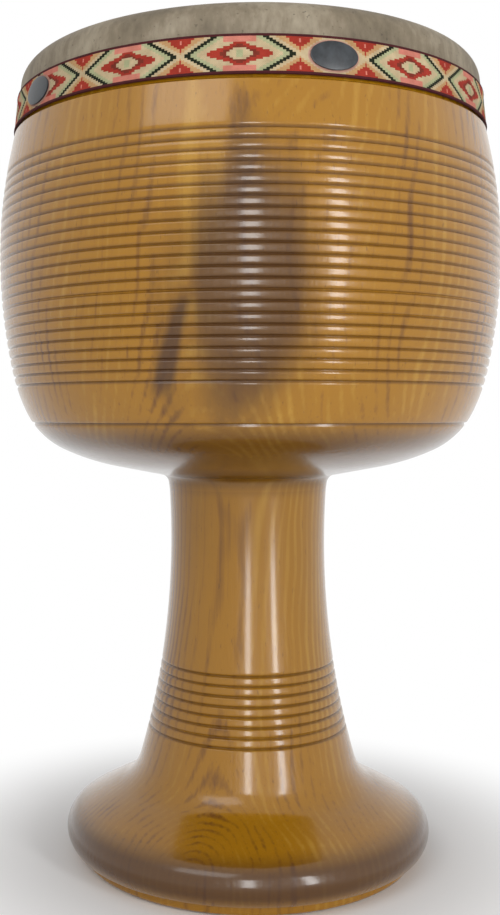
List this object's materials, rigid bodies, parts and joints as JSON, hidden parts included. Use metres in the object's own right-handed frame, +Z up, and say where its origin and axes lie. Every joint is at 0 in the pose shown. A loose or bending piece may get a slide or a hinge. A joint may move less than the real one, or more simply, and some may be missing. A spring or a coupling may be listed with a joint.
{
  "type": "tombak",
  "caption": "Goblet drum turned from one block of wood, with a bored bowl, throat and belled foot, a glued hide head and a woven ribbon with oval medallions.",
  "frame": {"origin": "centre of the drum's axis on the floor that it stands on", "axes": "+Z up along the drum's axis, -Y the front of the drum, +X to its right"},
  "size_m": [0.2934, 0.2934, 0.4646],
  "materials": {
    "wood": "turned hardwood under clear gloss lacquer, golden brown sapwood and dark heartwood",
    "hide": "untreated skin, grey-brown to cream, fibrous and matte",
    "ribbon": "woven ribbon with diamonds and crosses in red, pink, cream and black",
    "medallion": "dark slate enamel, satin gloss"
  },
  "bodies": {
    "root": {"shell": "wood", "drumhead": "hide", "ribbon": "ribbon", "medallion_1": "medallion", "medallion_2": "medallion", "medallion_3": "medallion", "medallion_4": "medallion", "medallion_5": "medallion"}
  },
  "joints": []
}
